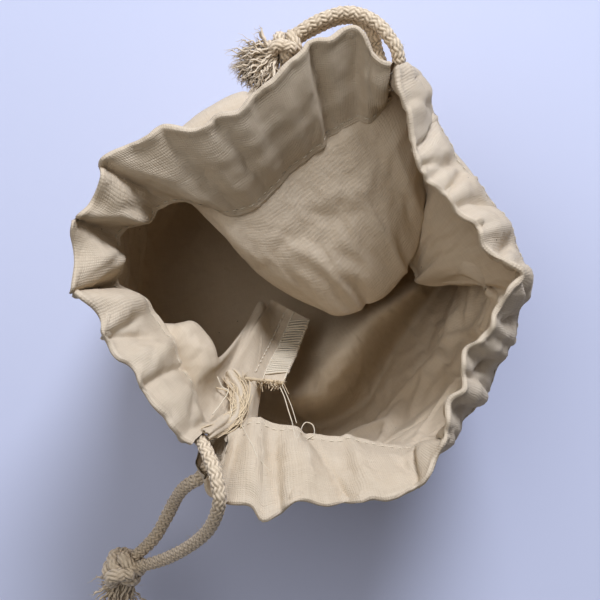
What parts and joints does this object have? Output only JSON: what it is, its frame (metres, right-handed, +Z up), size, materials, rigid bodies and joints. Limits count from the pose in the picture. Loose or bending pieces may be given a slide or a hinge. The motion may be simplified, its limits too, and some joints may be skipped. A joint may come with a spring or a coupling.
{
  "type": "fabric gift sack",
  "caption": "Standing open drawstring gift sack of unbleached calico, with a channelled top edge and two knotted braided cords leaving from opposite side seams.",
  "frame": {"origin": "centre of the underside of the base, on the table", "axes": "+Z up out of the mouth; +X towards side seam A, where cord A leaves its channel; -X towards side seam B; +Y towards the back wall"},
  "size_m": [0.2165, 0.1325, 0.11],
  "materials": {
    "calico": "unbleached plain-weave calico with dark seed flecks",
    "calico_hem": "doubled unbleached calico, gathered and stitched",
    "cord": "round braided cotton cord, matt and slightly fuzzy",
    "thread": "spun cotton sewing and overlock thread",
    "frayed_cord": "loose cotton fibre at the cut cord ends"
  },
  "bodies": {
    "sack_base": {"body_cloth_lower": "calico", "seam_allowance_a_lower": "calico", "seam_allowance_b_lower": "calico", "overlock_a_lower": "thread", "overlock_b_lower": "thread"},
    "sack_upper": {"front_wall_upper": "calico", "back_wall_upper": "calico", "front_channel_end_a": "calico_hem", "back_channel_end_a": "calico_hem", "front_channel_end_b": "calico_hem", "back_channel_end_b": "calico_hem", "front_stitching_end_a": "thread", "back_stitching_end_a": "thread", "front_stitching_end_b": "thread", "back_stitching_end_b": "thread", "cord_a_front_run_end": "cord", "cord_a_back_run_end": "cord", "cord_a_turn_at_seam_b": "cord", "cord_b_front_run_end": "cord", "cord_b_back_run_end": "cord", "cord_b_turn_at_seam_a": "cord", "seam_allowance_a_upper": "calico", "seam_allowance_b_upper": "calico", "overlock_a_upper": "thread", "overlock_b_upper": "thread"},
    "rim_front": {"front_channel": "calico_hem", "front_channel_stitching": "thread", "cord_a_front_run": "cord", "cord_b_front_run": "cord"},
    "rim_back": {"back_channel": "calico_hem", "back_channel_stitching": "thread", "cord_a_back_run": "cord", "cord_b_back_run": "cord"},
    "cord_a_strands": {"cord_a_strand_front": "cord", "cord_a_strand_back": "cord"},
    "cord_a_end": {"cord_a_knot": "cord", "cord_a_frayed_ends": "frayed_cord"},
    "cord_b_strands": {"cord_b_strand_front": "cord", "cord_b_strand_back": "cord"},
    "cord_b_end": {"cord_b_knot": "cord", "cord_b_frayed_ends": "frayed_cord"}
  },
  "joints": [
    {"name": "slump", "type": "slide", "parent": "sack_base", "child": "sack_upper", "axis": [0, 0, -1], "range_m": [-0.01, 0.03]},
    {"name": "front_close", "type": "slide", "parent": "sack_upper", "child": "rim_front", "axis": [0, 1, 0], "range_m": [0, 0.04]},
    {"name": "back_close", "type": "slide", "parent": "sack_upper", "child": "rim_back", "axis": [0, -1, 0], "range_m": [0, 0.046]},
    {"name": "cord_a_swing", "type": "hinge", "parent": "sack_upper", "child": "cord_a_strands", "pos_m": [0.0695, 0.001, 0.098], "axis": [0, 0, 1], "range_deg": [-95, 0]},
    {"name": "cord_a_pull", "type": "slide", "parent": "cord_a_strands", "child": "cord_a_end", "axis": [-0.26, 0.9656, 0], "range_m": [0, 0.07]},
    {"name": "cord_b_swing", "type": "hinge", "parent": "sack_upper", "child": "cord_b_strands", "pos_m": [-0.073, 0.0015, 0.092], "axis": [0, 0, 1], "range_deg": [-45, 45]},
    {"name": "cord_b_pull", "type": "slide", "parent": "cord_b_strands", "child": "cord_b_end", "axis": [-1, 0, 0], "range_m": [0, 0.07]}
  ],
  "couplings": [
    {"joint": "cord_b_pull", "follows": "cord_a_pull", "ratio": 1},
    {"joint": "front_close", "follows": "cord_a_pull", "ratio": 0.5714},
    {"joint": "back_close", "follows": "cord_a_pull", "ratio": 0.6571}
  ]
}
